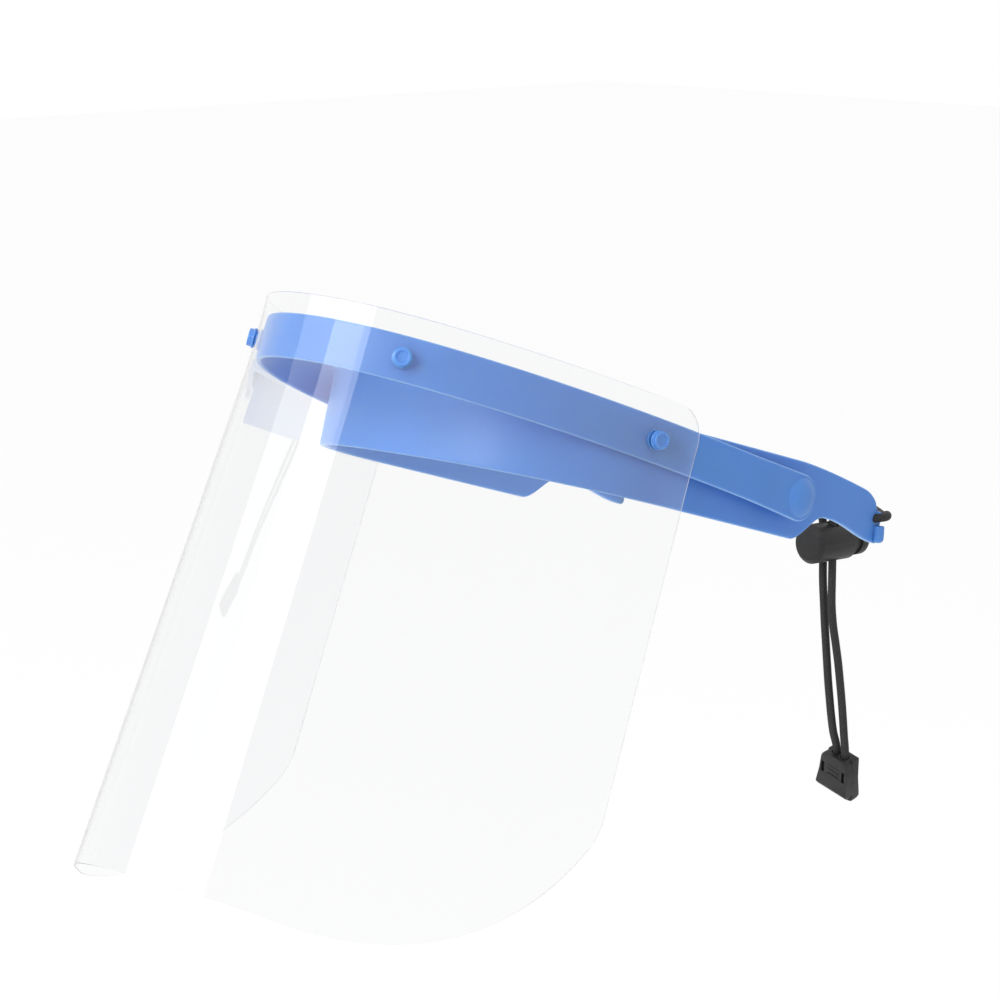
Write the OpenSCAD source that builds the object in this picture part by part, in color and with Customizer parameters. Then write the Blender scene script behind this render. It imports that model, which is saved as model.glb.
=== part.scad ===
// Flip-up face shield: a moulded brow band, a hinged bow that carries a clear
// sheet on four snap studs, and an elastic cord with a cord lock and an end clip.
// Millimetres. +Z is up, the wearer looks along -Y, and the wearer's left is +X.
// The origin is the centre of the head at the level of the hinges.

/* [Wearing angle] */
// Lean of the brow band, front edge up
band_tilt = 15.8; // [0:0.1:25]
// Angle of the bow above the brow band at rest
flip_rest = 5.2; // [0:0.1:20]

/* [Brow band] */
// Outer half width across the temples
band_half_w = 68.2; // [64:0.1:69]
// Depth of the curved front, from its centre line to the forehead
band_bow = 67; // [60:0.5:70]
// Fullness of the front curve, 2 is an ellipse
band_power = 2.4; // [2:0.05:2.8]
// Position of the curve's centre line ahead of the head's centre
band_bow_y = -39; // [-45:0.5:-35]
// How quickly the side arms draw in towards the back
band_draw = 0.0004; // [0:0.0001:0.0006]
// Wall thickness
band_wall = 2.2; // [1.6:0.1:3]
// Top edge above the hinge line
band_top = 12.2; // [10:0.1:16]
// Bottom edge below the hinge line, over the forehead
band_drop = 14.8; // [12:0.1:18]
// Rear end of the side arms, where the cord goes round
band_end_y = 72.6; // [70:0.1:78]

/* [Bow that carries the sheet] */
// Outer half width of the bow
bow_half_w = 74; // [73.5:0.1:78]
// Depth of the curved front
bow_depth = 150; // [140:1:160]
// Fullness of the front curve
bow_power = 2.1; // [2:0.05:2.4]
// Position of the curve's centre line
bow_y = -5; // [-10:0.5:0]
// Height of the strip
bow_h = 15.2; // [12:0.1:18]
// Wall thickness
bow_wall = 1.8; // [1.4:0.1:2.2]

/* [Hinges] */
// Position of the hinge line behind the head's centre
hinge_y = 19; // [15:0.5:24]
// Outer half width of the bow at the hinges
hinge_half_w = 73.5; // [73:0.1:75]
// Drop of the hinge line below the band's centre line
hinge_drop = 0.7; // [0:0.1:2]
// Radius of the hinge pin
pin_r = 2.52; // [2:0.01:3]
// Running clearance between the pin and the bow's socket
pin_gap = 0.06; // [0.02:0.01:0.1]
// Radius of the dome over each hinge
dome_r = 6.7; // [5.5:0.1:7]
// Height of the dome
dome_rise = 2.4; // [2:0.1:3.5]

/* [Clear sheet] */
// Width of the flat sheet
sheet_w = 300; // [280:1:320]
// Height above the studs
sheet_up = 14.1; // [10:0.1:20]
// Drop below the studs at the middle
sheet_down = 185.9; // [160:0.1:200]
// Thickness
sheet_t = 0.5; // [0.3:0.1:1]
// Gap between the bow and the sheet at the studs
sheet_gap = 1.4; // [1.3:0.1:1.7]
// Radius of the top corners
sheet_top_r = 11.5; // [6:0.5:20]
// Radius of the two large curves of the lower edge
sheet_low_r = 108.5; // [100:1:150]
// Half width of the straight middle of the lower edge
sheet_low_flat = 55; // [50:1:60]
// Rise of the lower edge at its middle
sheet_low_rise = 3.2; // [0:0.1:5]
// Outward lean of the sheet at the nose, in degrees
flare_front = 3.9; // [2:0.1:5]
// Outward lean at the side edges
flare_side = 1.2; // [0:0.1:2]

/* [Studs] */
// Distance of the front studs from the middle, along the bow
stud_front = 39; // [35:0.5:45]
// Distance of the side studs from the middle, along the bow
stud_side = 133; // [130:0.5:140]

/* [Cord and its fittings] */
// Diameter of the elastic cord
cord_d = 3; // [2.6:0.1:3]
// Diameter of the cord lock's barrel
lock_d = 14.5; // [14:0.1:16]
// Travel of the cord lock's plunger
lock_travel = 3; // [2:0.1:3]
// Width of the end clip at its lower edge
clip_w = 15; // [13:0.1:16]
// Height of the end clip
clip_h = 16.5; // [14:0.1:17.5]

/* [Hidden] */
$fn = 48;
slack = 1;                      // how far a cutter passes a face
cutter = 10;                    // size of a cutter that runs right through a wall or a bead
press = 0.02;                   // overlap on the radius where a pin or stud is pressed in

// Hinge parts, measured along X from the middle
boss_face = 70.7;               // flat face of the band's boss
pad_face = 71;                  // flat face of the pad inside the bow
pin_tip = 74.2;
socket_end = 74.5;
pin_head_r = 4;
pin_head_t = 1.2;
pin_head_x = 64.9;              // inner face of the pin's head

// Band ends
bead_r = 2;                     // bead below the cord, on the outer face near each rear edge
bead_out = 2;                   // outwards from the middle of the wall
bead_ahead = 1.55;              // forwards from the rear edge
bead_top = -2.75;               // flat top, just under the cord's slot
bead_low = -8.7;
edge_top = 1.3;                 // top of the rounded rear edge beside the slot
bead_lean = 11.6;               // turns the bead upright as worn
waist_start = 25;               // the lower edge rises from here ...
waist_end = 41.5;               // ... to here
waist_drop = 4.9;
heel_start = 45;                // it falls again from here ...
heel_end = 71.5;                // ... to the heel
heel_drop = 9;
taper_start = 24;               // the top edge starts to fall here
taper_fall = 5.2;
taper_power = 1.5;
corner_from = 63;               // closer points along the top edge from here
corner_len = 10.4;              // rounding of the upper rear corner
corner_h = 8;
end_setback = 0.8;
slot_z = -0.85;                 // slot for the cord
slot_h = 3.7;
slot_len = 3.25;
wrap_r = 3.1;                   // the cord turns round the end at this radius
wrap_rise = 2.6;
knot_r = 2.7;

// The bow widens towards its round ends
end_swell = 0.5;
swell_run = 25;

// Stud profile, measured outwards from the bow's outer face
stud_tail = 1.8;
collar_r = 3.6;
collar_t = 1.1;
neck_r = 2.2;
head_start = 2.1;
head_r = 3.4;
head_t = 0.8;
cap_r = 3;
cap_t = 1.6;
dish_r = 1.9;
dish_d = 0.5;
tail_r = 1.6;
sheet_hole_r = 2.6;

// Cord lock: the barrel's axis runs along Y, the cords pass through it along Z
lock_at = [0, 112.5, -40];
lock_front = -11;               // closed end, towards the head
lock_back = 9;                  // open end
lock_bore_r = 5.6;
lock_floor = 1.7;
plunger_gap = 0.08;
plunger_front = -3.4;
button_r = 6.4;
button_t = 4.5;
button_gap = 3.3;
cord_pitch = 4.6;               // spacing of the two cords in the lock
grip_gap = 0.06;                // between the cords and the edges that grip them
free_gap = 0.4;                 // between the cords and the other edges
spring_r = 2.4;
spring_wire = 0.35;
spring_turns = 5;
spring_seat = 1.2;

// End clip: it hangs from the two tails, turned about a nearly level axis
clip_at = [0.7, 119.8, -120.1];
clip_turn = 25.6;
clip_turn_axis = [0.63, 0.77, 0.03];
clip_top_w = 12;
clip_t = 7.6;
clip_waist = 6.8;
back_drop = 2;                  // the back shell reaches lower
front_cut = 1.6;                // cut of the front shell's top corners
back_cut = 0.6;                 // cut of the back shell's top corners
clip_seam = 0.05;
clip_pitch = 4.2;               // spacing of the tails in the clip
channel_r = 1.7;
channel_len = 8.4;
pocket_w = 8.3;
pocket_t = 4.2;
tail_knot_r = 1.95;
knot_len = 3;
catch_x = 5;
catch_z = -6.6;
window_w = 1.4;
window_h = 4.7;
catch_slack = 0.15;
catch_reach = 2.6;
rib_w = 5.2;
rib_h = 0.8;
rib_t = 0.6;                    // half of it stands out of the face
rib_pitch = 2;

// Route of the left cord after it has turned round the band's end: round the
// back of the head and down through the lock
back_route = [[60.5, 74.4, -19.5], [57, 76.6, -19.3], [50, 81.4, -19.2], [42, 86.9, -19.3],
    [34, 92.2, -19.7], [26, 97.1, -20.4], [18.5, 101.5, -21.6], [12.5, 105.2, -23],
    [8, 108.3, -24.9], [4.8, 110.7, -27.5], [2.9, 112, -30.7], [2.3, 112.5, -34.4],
    [2.3, 112.5, -41], [2.3, 112.5, -48]];
// The two tails between the lock and the clip
tail_left = [[2.3, 112.4, -55], [2.3, 112.4, -63], [2.3, 113.3, -71], [2.3, 114.8, -78],
    [2.3, 116.2, -85], [2.3, 117.3, -92], [2.4, 118.2, -99], [2.8, 118.6, -106],
    [3.4, 118.6, -112.3]];
tail_right = [[-2.3, 112.6, -55], [-2.3, 113.2, -63], [-2.3, 113.8, -71], [-2.3, 114.5, -78],
    [-2.3, 115.2, -85], [-2.1, 115.7, -92], [-1.8, 116.3, -99], [-1.2, 116.7, -106],
    [-0.7, 117.3, -111.6]];
tail_entry = 2;                 // a tail is in line with its channel from here

// ---- Plan curves -----------------------------------------------------------

// A point of a superellipse that bulges towards -Y, t from 0 (left) to 90 (front)
function bulge(a, b, n, yc, t) =
    [a * pow(cos(t), 2 / n), yc - b * pow(sin(t), 2 / n)];
// Side arm that draws in towards the back
function arm(a, k, yc, y) = [a - k * pow(y - yc, 2), y];
// Left half of a plan curve, from the rear end to the front
function half_plan(a, b, n, yc, k, rear, steps, turns) = concat(
    [for (i = [0:steps - 1]) arm(a, k, yc, rear + (yc - rear) * i / steps)],
    [for (i = [0:turns]) bulge(a, b, n, yc, 90 * i / turns)]);
function flipped_x(p) = [-p.x, p.y];
function whole_plan(h) = concat(h, [for (i = [len(h) - 2:-1:0]) flipped_x(h[i])]);
function unit(v) = v / norm(v);
function clamp(i, n) = max(0, min(n - 1, i));
// Outward normal at point i of a plan curve
function plan_normal(p, i) =
    let (d = unit(p[clamp(i + 1, len(p))] - p[clamp(i - 1, len(p))])) [-d.y, d.x];
function moved(p, d) = [for (i = [0:len(p) - 1]) p[i] + d * plan_normal(p, i)];
function reversed(p) = [for (i = [len(p) - 1:-1:0]) p[i]];
function strip(p, wall) = concat(p, reversed(moved(p, -wall)));
// Distance travelled along a plan curve at each of its points
function travelled(p) = [for (i = 0, s = 0; i < len(p);
    s = s + norm(p[clamp(i + 1, len(p))] - p[i]), i = i + 1) s];

bow_draw = (bow_half_w - hinge_half_w) / pow(hinge_y - bow_y, 2);
bow_plan = whole_plan(half_plan(bow_half_w, bow_depth, bow_power, bow_y, bow_draw,
    hinge_y + bow_h, 8, 48));
band_plan = whole_plan(half_plan(band_half_w, band_bow, band_power, band_bow_y, band_draw,
    band_end_y, 20, 40));
bow_s = travelled(bow_plan);
bow_mid = bow_s[len(bow_s) - 1] / 2;
bow_table = [for (i = [0:len(bow_plan) - 1])
    let (n = plan_normal(bow_plan, i)) [bow_s[i], bow_plan[i].x, bow_plan[i].y, n.x, n.y]];
function column(k, s) = lookup(bow_mid - s, [for (r = bow_table) [r[0], r[k]]]);
// Point on the bow's outer face at distance s from the middle, + to the left
function bow_at(s) = [column(1, s), column(2, s)];
function bow_out(s) = unit([column(3, s), column(4, s)]);

// ---- Placing ---------------------------------------------------------------

module worn() rotate([-band_tilt, 0, 0]) children();
module at_rest() worn() translate([0, hinge_y, -hinge_drop]) rotate([-flip_rest, 0, 0])
    translate([0, -hinge_y, 0]) children();
function worn_point(p) = [p.x, p.y * cos(band_tilt) + p.z * sin(band_tilt),
    p.z * cos(band_tilt) - p.y * sin(band_tilt)];
// Clip space: origin at the middle of the top face, the clip hangs along -Z
module hung() translate(clip_at) rotate(clip_turn, clip_turn_axis) children();
function hung_point(p) = let (k = unit(clip_turn_axis)) clip_at + p * cos(clip_turn)
    + cross(k, p) * sin(clip_turn) + k * (k * p) * (1 - cos(clip_turn));
module on_side(side) mirror([side < 0 ? 1 : 0, 0, 0]) children();
module both_sides() for (side = [-1, 1]) on_side(side) children();
// A shape drawn in the YZ plane, run through the whole width along X
module side_view(w = 200) rotate([90, 0, 90]) linear_extrude(w, center = true) children();
module along_x() rotate([0, 90, 0]) children();
// Local frame on the bow's outer face: +Z points outwards
module on_bow(s) translate([bow_at(s).x, bow_at(s).y, 0])
    rotate([0, 0, atan2(bow_out(s).y, bow_out(s).x)]) along_x() children();

// ---- Brow band -------------------------------------------------------------

function smooth(t) = let (u = max(0, min(1, t))) u * u * (3 - 2 * u);
function band_low(y) = y < waist_end
    ? -band_drop + (band_drop - waist_drop) * smooth((y - waist_start) / (waist_end - waist_start))
    : -waist_drop - (heel_drop - waist_drop) * smooth((y - heel_start) / (heel_end - heel_start));
function corner_fall(y) = let (d = max(0, y - band_end_y + end_setback + corner_len))
    corner_h * (1 - sqrt(max(0, 1 - pow(d / corner_len, 2))));
function band_high(y) = band_top - corner_fall(y)
    - taper_fall * pow(max(0, (y - taper_start) / (band_end_y - taper_start)), taper_power);
arm_ys = [for (y = [18:2:corner_from - 1]) y];
top_end_y = band_end_y - end_setback;
corner_ys = [for (i = [0:8]) corner_from + (top_end_y - 0.2 - corner_from) * sin(90 * i / 8)];
top_ys = concat(arm_ys, corner_ys);
band_front_y = band_bow_y - band_bow - slack;

module band_outline() polygon(concat(
    [[band_front_y, band_low(0)]], [for (y = arm_ys) [y, band_low(y)]],
    [[heel_end, -heel_drop], [band_end_y + slack, -heel_drop], [band_end_y + slack, -slack],
        [top_end_y, 0]],
    [for (y = reversed(top_ys)) [y, band_high(y)]], [[band_front_y, band_top]]));

edge_x = band_half_w - band_draw * pow(band_end_y - band_bow_y, 2) - band_wall / 2;
edge_r = band_wall / 2;

// Upright rod with round ends from z = low to z = high
module rod(r, low, high) hull() for (z = [low + r, high - r]) translate([0, 0, z]) sphere(r);

// Rounded rear edge, and the bead on its outer side, upright as worn
module rear_edge() translate([edge_x, band_end_y, 0]) {
    rod(edge_r, bead_low, edge_top + edge_r);
    translate([bead_out, -bead_ahead, 0]) rotate([bead_lean, 0, 0]) difference() {
        rod(bead_r, bead_low, bead_top + 2 * bead_r);
        translate([-cutter / 2, -cutter / 2, bead_top]) cube(cutter);
    }
}

module brow_band() color("cornflowerblue") worn() difference() {
    union() {
        intersection() {
            translate([0, 0, -band_drop - slack])
                linear_extrude(band_top + band_drop + 2 * slack) polygon(strip(band_plan, band_wall));
            side_view() band_outline();
        }
        both_sides() rear_edge();
        // bosses that keep the bow clear of the band
        both_sides() translate([pin_head_x + 0.5, hinge_y, -hinge_drop]) along_x()
            cylinder(h = boss_face - pin_head_x - 0.5, r = dome_r);
    }
    both_sides() translate([pin_head_x, hinge_y, -hinge_drop]) along_x() {
        translate([0, 0, -slack]) cylinder(h = cutter, r = pin_r - press);
        translate([0, 0, -3]) cylinder(h = 3 + pin_head_t + 0.05, r = pin_head_r + 0.1);
    }
    both_sides()
        translate([edge_x - cutter / 2, band_end_y - wrap_r - slot_len / 2, slot_z - slot_h / 2])
            cube([cutter, slot_len, slot_h]);
}

module pivot_pin(side) color("royalblue") worn() on_side(side)
    translate([pin_head_x, hinge_y, -hinge_drop]) along_x() {
        cylinder(h = pin_head_t, r = pin_head_r);
        translate([0, 0, 0.5]) cylinder(h = pin_tip - pin_head_x - 0.5, r = pin_r);
    }

// ---- Bow, sheet and studs ---------------------------------------------------

end_r = bow_h / 2 + end_swell;
module bow_outline() {
    translate([-200, -bow_h / 2]) square([200 + hinge_y - swell_run, bow_h]);
    polygon([[hinge_y - swell_run - slack, -bow_h / 2], [hinge_y - swell_run, -bow_h / 2],
        [hinge_y, -end_r], [hinge_y, end_r], [hinge_y - swell_run, bow_h / 2],
        [hinge_y - swell_run - slack, bow_h / 2]]);
    translate([hinge_y, 0]) circle(end_r);
}

// Round cap of the given base radius and height
module dome(r, rise) {
    big = (r * r + rise * rise) / (2 * rise);
    intersection() {
        translate([0, 0, rise - big]) sphere(big, $fn = 96);
        translate([0, 0, -slack]) cylinder(h = rise + 2 * slack, r = r);
    }
}

module visor_frame() color("cornflowerblue") at_rest() difference() {
    union() {
        intersection() {
            linear_extrude(bow_h + 2 * slack, center = true) polygon(strip(bow_plan, bow_wall));
            side_view() bow_outline();
        }
        both_sides() translate([0, hinge_y, 0]) along_x() {
            translate([0, 0, hinge_half_w - 0.2]) dome(dome_r, dome_rise);
            translate([0, 0, pad_face]) cylinder(h = hinge_half_w - pad_face - 0.5, r = dome_r);
        }
    }
    both_sides() translate([pad_face - slack, hinge_y, 0]) along_x()
        cylinder(h = socket_end - pad_face + slack, r = pin_r + pin_gap);
    for (s = [-stud_side, -stud_front, stud_front, stud_side])
        on_bow(s) translate([0, 0, -5]) cylinder(h = 6, r = tail_r - press);
}

// Upper and lower edge of the flat sheet at distance s from its middle
half_sheet = sheet_w / 2;
low_round = 3;
low_rise_half = 52;
flare_from = 7.6;               // the sheet leans out from about this depth
flare_soft = 6;
function edge_up(s) = let (d = max(0, abs(s) - half_sheet + sheet_top_r))
    sheet_up - sheet_top_r + sqrt(max(0, sheet_top_r * sheet_top_r - d * d));
function edge_down(s) =
    let (d = max(0, abs(s) - sheet_low_flat), e = max(0, abs(s) - half_sheet + low_round))
    sheet_down - sheet_low_r + sqrt(sheet_low_r * sheet_low_r - d * d) - e * e / low_round
        - sheet_low_rise * max(0, 1 - pow(s / low_rise_half, 2));
function flare(s) = flare_side + (flare_front - flare_side) * (1 - pow(s / half_sheet, 2));
// Depth that counts towards the lean: none above the bow, all of it well below
function leaning(h) = (h - flare_from + norm([h - flare_from, flare_soft])) / 2;
// Point of the sheet at distance s along the bow, depth h below the studs, w outwards
function sheet_at(s, h, w) =
    let (p = bow_at(s) + bow_out(s) * (sheet_gap + w + leaning(h) * tan(flare(s)))) [p.x, p.y, -h];

sheet_half_columns = 30;
sheet_columns = [for (i = [-sheet_half_columns:sheet_half_columns])
    half_sheet * sin(90 * i / sheet_half_columns)];

bend_depths = [1, 14];           // rows where the sheet starts to lean out

module bent_sheet() {
    n = len(sheet_columns);
    ring = 2 * (len(bend_depths) + 2);
    points = [for (s = sheet_columns) let (rows = concat([-edge_up(s)], bend_depths, [edge_down(s)]))
        each concat([sheet_at(s, rows[0], 0)], [for (h = rows) sheet_at(s, h, sheet_t)],
            [for (h = reversed(rows)) if (h > rows[0]) sheet_at(s, h, 0)])];
    polyhedron(points, concat(
        [for (i = [0:n - 2], k = [0:ring - 1]) let (a = ring * i + k, b = ring * i + (k + 1) % ring)
            [a, b, b + ring, a + ring]],
        [[for (k = [ring - 1:-1:0]) k], [for (k = [0:ring - 1]) ring * (n - 1) + k]]), convexity = 8);
}

module visor_sheet() color("aliceblue", 0.4) at_rest() difference() {
    bent_sheet();
    for (s = [-stud_side, -stud_front, stud_front, stud_side])
        on_bow(s) cylinder(h = sheet_gap + sheet_t + 3, r = sheet_hole_r);
}

module stud(s) color("cornflowerblue") at_rest() on_bow(s) rotate_extrude() polygon([
    [0, -stud_tail], [tail_r, -stud_tail], [tail_r, 0.05], [collar_r, 0.05], [collar_r, collar_t],
    [neck_r, collar_t], [neck_r, head_start], [head_r, head_start],
    [head_r, head_start + head_t], [cap_r, head_start + head_t],
    [cap_r, head_start + head_t + cap_t], [dish_r, head_start + head_t + cap_t],
    [dish_r, head_start + head_t + cap_t - dish_d], [0, head_start + head_t + cap_t - dish_d]]);

// ---- Cord -------------------------------------------------------------------

function side_of(p, side) = [side * p.x, p.y, p.z];
knot_x = edge_x - edge_r - knot_r - 0.1;
// In the band's own frame: straight out through the slot, then round the end
wrap_route = concat([for (x = [knot_x, knot_x + 2]) worn_point([x, band_end_y - wrap_r, slot_z])],
    [for (a = [-90:25:60]) worn_point([edge_x + wrap_r * cos(a), band_end_y + wrap_r * sin(a),
        slot_z + wrap_rise * (a + 90) / 150])]);
shared_route = concat(wrap_route, back_route);
// Down one channel of the clip to its knot
function clip_route(side) = [for (z = [tail_entry, -channel_len / 2, -channel_len])
    hung_point([side * clip_pitch / 2, 0, z])];
route_left = concat(shared_route, tail_left, clip_route(1));
route_right = concat([for (p = shared_route) side_of(p, -1)], tail_right, clip_route(-1));
function heading(p, i) = unit(p[clamp(i + 1, len(p))] - p[clamp(i - 1, len(p))]);
// Sideways directions carried along the route without twisting
function carried(p) = [for (i = 0, u = unit(cross(heading(p, 0), [0, 0, 1])); i < len(p);
    i = i + 1, u = let (t = heading(p, clamp(i, len(p)))) unit(u - (u * t) * t)) u];

module tube(p, d, sides = 8) {
    u = carried(p);
    n = len(p);
    rings = [for (i = [0:n - 1]) let (t = heading(p, i), v = cross(t, u[i]))
        for (k = [0:sides - 1]) p[i] + d / 2 * (cos(360 * k / sides) * u[i] + sin(360 * k / sides) * v)];
    polyhedron(rings, concat([[for (k = [sides - 1:-1:0]) k]],
        [for (i = [0:n - 2], k = [0:sides - 1]) let (a = i * sides + k, b = i * sides + (k + 1) % sides)
            [a, b, b + sides, a + sides]],
        [[for (k = [0:sides - 1]) (n - 1) * sides + k]]), convexity = 10);
}

module cord(route) color("#2b2b2b") tube(route, cord_d);

module cord_knot(side) color("#2b2b2b") translate(side_of(shared_route[0], side)) sphere(knot_r);

// ---- Cord lock ----------------------------------------------------------------

// Barrel parts are drawn along +Z and laid along +Y
module lock_axis() translate(lock_at) rotate([-90, 0, 0]) children();
// Slot for the two cords; after lock_axis() the cords run along Y
cord_slot_w = cord_pitch + cord_d + 2 * free_gap;
module cord_slot(near, far) translate([-cord_slot_w / 2, -15, near]) cube([cord_slot_w, 30, far - near]);
cord_r = cord_d / 2;

module cord_lock_body() color("#2b2b2b") lock_axis() difference() {
    rotate_extrude() polygon([[0, lock_front], [lock_d / 2 - 1.5, lock_front],
        [lock_d / 2, lock_front + 1.5], [lock_d / 2, lock_back - 0.6],
        [lock_d / 2 - 0.6, lock_back], [0, lock_back]]);
    translate([0, 0, lock_front + lock_floor]) cylinder(h = 30, r = lock_bore_r);
    // the cords are gripped between this slot's rear edge and the plunger's front one
    cord_slot(-cord_r - free_gap, cord_r + grip_gap);
}

module cord_lock_plunger() color("#2b2b2b") lock_axis() difference() {
    union() {
        translate([0, 0, plunger_front])
            cylinder(h = lock_back + button_gap - plunger_front, r = lock_bore_r - plunger_gap);
        translate([0, 0, lock_back + button_gap]) rotate_extrude() polygon([[0, 0], [button_r, 0],
            [button_r, button_t - 1.2], [button_r - 1.2, button_t], [0, button_t]]);
    }
    cord_slot(-cord_r - grip_gap, cord_r + free_gap + lock_travel);
    translate([0, 0, plunger_front - slack]) cylinder(h = spring_seat + slack, r = spring_r + 0.6);
}

spring_from = lock_front + lock_floor;
spring_to = plunger_front + spring_seat;
spring_route = [for (i = [0:spring_turns * 12]) let (t = i / 12)
    [(spring_r - spring_wire) * cos(360 * t), (spring_r - spring_wire) * sin(360 * t),
        spring_from + spring_wire + 0.05
            + (spring_to - spring_from - 2 * spring_wire - 0.1) * t / spring_turns]];
module cord_lock_spring() color("silver") lock_axis() tube(spring_route, 2 * spring_wire, 6);

// ---- End clip -----------------------------------------------------------------

// Front view and side view of a shell of height h, its top corners cut by c
module clip_front(h, c) polygon([for (side = [-1, 1]) for (p = [[clip_w / 2 - 2, -h],
    [clip_w / 2 - 0.5, -h + 0.5], [clip_w / 2, -h + 2], [clip_top_w / 2, -1.2 * c],
    [clip_top_w / 2 - 0.35 * c, -0.35 * c], [clip_top_w / 2 - c, 0]]) [side * p.x, p.y]]);
module clip_side(h) polygon([[clip_seam / 2, 0], [clip_t / 2 - 0.4, 0], [clip_t / 2, -0.4],
    [clip_waist / 2, -clip_h / 2], [clip_t / 2, -h + 3.5], [clip_t / 2, -h + 2],
    [clip_t / 2 - 0.7, -h + 0.9], [clip_t / 2 - 2, -h], [clip_seam / 2, -h]]);
// Shell on the +Y side
module clip_half(h, c) intersection() {
    rotate([90, 0, 0]) linear_extrude(20, center = true) hull() clip_front(h, c);
    side_view(30) clip_side(h);
}
module tail_ways() {
    for (x = [-1, 1]) translate([x * clip_pitch / 2, 0, -channel_len])
        cylinder(h = channel_len + slack, r = channel_r);
    translate([-pocket_w / 2, -pocket_t / 2, -channel_len - knot_len - 0.2])
        cube([pocket_w, pocket_t, knot_len + 0.3]);
}
module catches(w, h, from, to) for (x = [-1, 1])
    translate([x * catch_x - w / 2, from, catch_z - h / 2]) cube([w, to - from, h]);

module clip_front_shell() color("#2b2b2b") hung() difference() {
    union() {
        mirror([0, 1, 0]) clip_half(clip_h, front_cut);
        // grip ribs on the face
        for (i = [-1:1]) translate([-rib_w / 2, -clip_waist / 2 - rib_t / 2,
            catch_z - rib_h / 2 + rib_pitch * i]) cube([rib_w, rib_t, rib_h]);
    }
    tail_ways();
    catches(window_w, window_h, -clip_t, slack);
}

module clip_back_shell() color("#2b2b2b") hung() {
    difference() {
        clip_half(clip_h + back_drop, back_cut);
        tail_ways();
    }
    // catches that snap into the front shell's windows
    catches(window_w - 2 * catch_slack, window_h - 2 * catch_slack, -catch_reach, 0.5);
}

module tail_knot(side) color("#2b2b2b") hung()
    translate([side * clip_pitch / 2, 0, -channel_len - knot_len]) cylinder(h = knot_len, r = tail_knot_r);

// ---- Pieces -------------------------------------------------------------------

brow_band();
visor_frame();
visor_sheet();
stud(stud_front);  // stud_front_left
stud(-stud_front);  // stud_front_right
stud(stud_side);  // stud_side_left
stud(-stud_side);  // stud_side_right
pivot_pin(1);  // pivot_pin_left
pivot_pin(-1);  // pivot_pin_right
cord(route_left);  // cord_left
cord(route_right);  // cord_right
cord_knot(1);  // cord_knot_left
cord_knot(-1);  // cord_knot_right
cord_lock_body();
cord_lock_plunger();
cord_lock_spring();
clip_front_shell();
clip_back_shell();
tail_knot(1);  // tail_knot_left
tail_knot(-1);  // tail_knot_right
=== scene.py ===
import math

import bmesh
import bpy
import numpy as np
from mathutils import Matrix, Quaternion, Vector


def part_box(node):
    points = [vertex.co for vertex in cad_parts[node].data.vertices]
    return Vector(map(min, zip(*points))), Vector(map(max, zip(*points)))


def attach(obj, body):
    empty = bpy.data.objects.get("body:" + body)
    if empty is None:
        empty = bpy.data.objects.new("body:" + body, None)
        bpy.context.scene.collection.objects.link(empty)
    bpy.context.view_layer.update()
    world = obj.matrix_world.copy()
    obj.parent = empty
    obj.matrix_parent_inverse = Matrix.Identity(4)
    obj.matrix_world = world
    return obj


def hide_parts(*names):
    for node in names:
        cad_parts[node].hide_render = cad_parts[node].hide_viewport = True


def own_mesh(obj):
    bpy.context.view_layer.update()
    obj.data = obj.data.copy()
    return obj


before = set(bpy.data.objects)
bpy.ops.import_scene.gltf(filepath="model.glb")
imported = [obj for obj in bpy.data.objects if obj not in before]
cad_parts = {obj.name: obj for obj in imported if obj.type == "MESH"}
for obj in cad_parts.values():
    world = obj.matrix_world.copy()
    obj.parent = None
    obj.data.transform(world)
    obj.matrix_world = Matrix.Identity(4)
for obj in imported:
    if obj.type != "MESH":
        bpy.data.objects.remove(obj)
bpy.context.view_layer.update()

bl_info = {
    "name": "Flip-up face shield",
    "version": (1, 0, 0),
    "blender": (4, 5, 0),
    "location": "3D View > Sidebar > Face Shield",
    "description": "Builds the pieces, finishes and studio of a flip-up face shield",
    "category": "Add Mesh",
}

MM = 0.001


# ---- Sizes and colours -------------------------------------------------------


def length_value(text, value, low, high):
    """A length in metres with its name and limits."""
    name, _, description = text.partition(": ")
    return bpy.props.FloatProperty(
        name=name, description=description, default=value, min=low, max=high,
        precision=5, subtype="DISTANCE", unit="LENGTH",
    )


def colour_value(text, value):
    """A linear colour with its name."""
    name, _, description = text.partition(": ")
    return bpy.props.FloatVectorProperty(
        name=name, description=description, default=value, min=0, max=1, size=3, subtype="COLOR",
    )


def in_mm(setting):
    """A setting in millimetres, without the last digits that single precision adds."""
    return round(setting / MM, 4)


class ShieldBandSizes(bpy.types.PropertyGroup):
    half_width: length_value(
        "Half width: Outer half width across the temples", 68.2 * MM, 0.064, 0.069)
    bow: length_value("Front depth: Depth of the curved front", 67 * MM, 0.06, 0.07)
    wall: length_value("Wall: Thickness of the band", 2.2 * MM, 0.0016, 0.003)
    top: length_value("Top: Top edge above the hinge line", 12.2 * MM, 0.01, 0.016)
    drop: length_value("Drop: Bottom edge below the hinge line", 14.8 * MM, 0.012, 0.018)
    end: length_value("Rear end: Where the cord goes round", 72.6 * MM, 0.07, 0.078)
    edge: length_value("Edge: Rounding of the edges", 0.75 * MM, 0.0002, 0.001)
    tilt: bpy.props.FloatProperty(
        name="Wearing angle", description="Lean of the band, front edge up",
        default=math.radians(15.8), min=0, max=0.5, subtype="ANGLE", unit="ROTATION",
    )


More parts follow.
